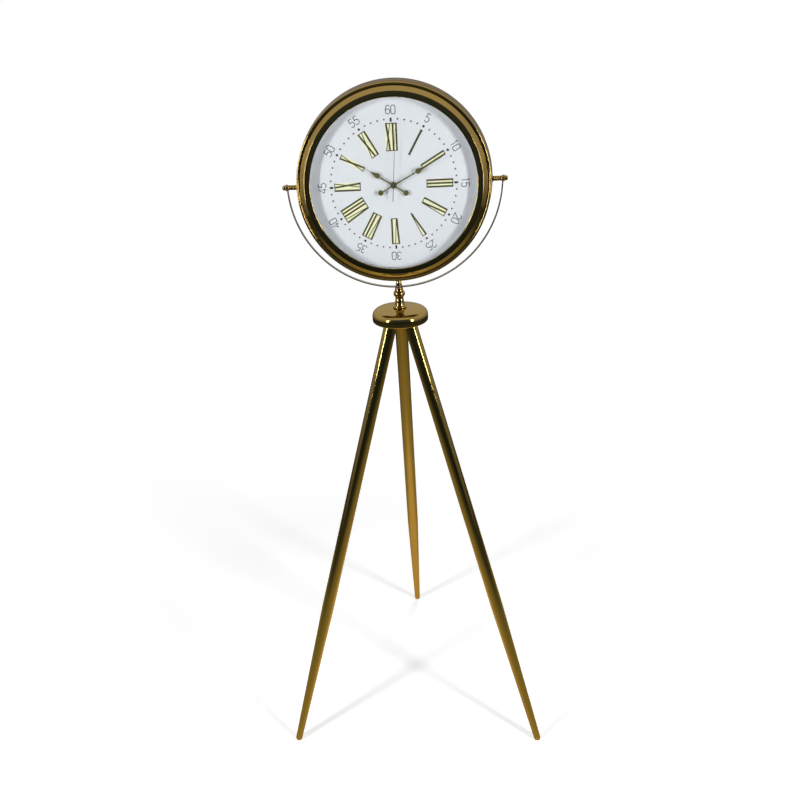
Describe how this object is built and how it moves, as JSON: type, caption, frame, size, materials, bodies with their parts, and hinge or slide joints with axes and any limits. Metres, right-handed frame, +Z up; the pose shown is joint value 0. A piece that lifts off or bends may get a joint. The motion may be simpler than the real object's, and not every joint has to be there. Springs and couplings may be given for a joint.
{
  "type": "tripod floor clock",
  "caption": "Free-standing clock on a splayed tripod: a round glazed head with a quartz movement tilts in a half-ring yoke that turns on a finial column above the hub.",
  "frame": {"origin": "on the floor, in the middle of the box around the feet, below and just behind the dial", "axes": "+Z up, the dial faces -Y (leaning back a little), +X to the right of someone who reads the dial"},
  "size_m": [0.644, 0.56, 1.6293],
  "materials": {
    "polished_brass": "polished gold-coloured plating",
    "dark_brass": "polished, darker gold plating",
    "yoke_brass": "polished pale gold plating",
    "plain_steel": "bright zinc plating",
    "cast_plate": "dark cast metal",
    "fibre": "red-brown fibre",
    "clear_glass": "clear flat glass",
    "dial_white": "white matt lacquer on aluminium",
    "reveal_grey": "pale grey",
    "fibreboard": "plain fibreboard",
    "black_board": "black painted fibreboard",
    "black_plastic": "black moulded plastic",
    "grey_plastic": "dark grey moulded plastic",
    "battery_shell": "plain printed-film shell without lettering",
    "soft_rubber": "soft black rubber",
    "gear_plastic": "natural acetal",
    "hand_metal": "dark olive gold lacquer",
    "thin_grey": "thin grey lacquer"
  },
  "bodies": {
    "stand": {"leg_left": "polished_brass", "leg_right": "polished_brass", "leg_back": "polished_brass", "leg_inserts": "plain_steel", "leg_studs": "plain_steel", "leg_tips": "polished_brass", "leg_plate": "cast_plate", "hub_cover": "polished_brass", "column": "polished_brass", "column_rod": "plain_steel", "swivel_washers": "fibre", "cone_nut": "polished_brass"},
    "yoke_ring": {"yoke": "yoke_brass"},
    "head": {"case_drum": "polished_brass", "bezel": "dark_brass", "support_ring": "plain_steel", "dial_spacer": "reveal_grey", "glass": "clear_glass", "dial": "dial_white", "dial_board": "fibreboard", "back_panel": "black_board", "back_screws": "plain_steel", "movement_case": "black_plastic", "movement_cover": "grey_plastic", "battery": "battery_shell", "battery_contacts": "plain_steel", "cushion_washer": "soft_rubber", "bushing_washer": "polished_brass", "bushing_nut": "polished_brass", "beaded_spacers": "polished_brass", "pivot_rods": "plain_steel", "pivot_washers": "plain_steel", "pivot_nuts": "plain_steel"},
    "left_knob": {"clamp_knob_left": "polished_brass"},
    "right_knob": {"clamp_knob_right": "polished_brass"},
    "second": {"second_arbor": "plain_steel", "second_hand": "thin_grey"},
    "minute": {"minute_arbor": "gear_plastic", "minute_hand": "hand_metal", "hand_nut": "dark_brass"},
    "hour": {"hour_tube": "gear_plastic", "hour_hand": "hand_metal"},
    "time_knob": {"setting_knob": "black_plastic"}
  },
  "joints": [
    {"name": "yoke_swivel", "type": "hinge", "parent": "stand", "child": "yoke_ring", "pos_m": [0, -0.0905, 1.41965], "axis": [0, 0, 1], "range_deg": [-180, 180]},
    {"name": "head_tilt", "type": "hinge", "parent": "yoke_ring", "child": "head", "pos_m": [0, -0.0905, 1.41965], "axis": [1, 0, 0], "range_deg": [-90, 90]},
    {"name": "left_knob_turn", "type": "hinge", "parent": "head", "child": "left_knob", "pos_m": [-0.24, -0.0905, 1.41965], "axis": [-1, 0, 0], "range_deg": [0, 360]},
    {"name": "right_knob_turn", "type": "hinge", "parent": "head", "child": "right_knob", "pos_m": [0.24, -0.0905, 1.41965], "axis": [1, 0, 0], "range_deg": [0, 360]},
    {"name": "second_spin", "type": "hinge", "parent": "head", "child": "second", "pos_m": [0, -0.13746, 1.42162], "axis": [0, 0.9991, -0.0419], "continuous": true},
    {"name": "minute_spin", "type": "hinge", "parent": "head", "child": "minute", "pos_m": [0, -0.13446, 1.42149], "axis": [0, 0.9991, -0.0419], "continuous": true},
    {"name": "hour_spin", "type": "hinge", "parent": "head", "child": "hour", "pos_m": [0, -0.13246, 1.42141], "axis": [0, 0.9991, -0.0419], "continuous": true},
    {"name": "time_knob_spin", "type": "hinge", "parent": "head", "child": "time_knob", "pos_m": [0, -0.10382, 1.43622], "axis": [0, -0.9991, 0.0419], "continuous": true}
  ],
  "couplings": [
    {"joint": "minute_spin", "follows": "second_spin", "ratio": 0.016667},
    {"joint": "hour_spin", "follows": "second_spin", "ratio": 0.0013889},
    {"joint": "time_knob_spin", "follows": "second_spin", "ratio": 0.0055556}
  ]
}
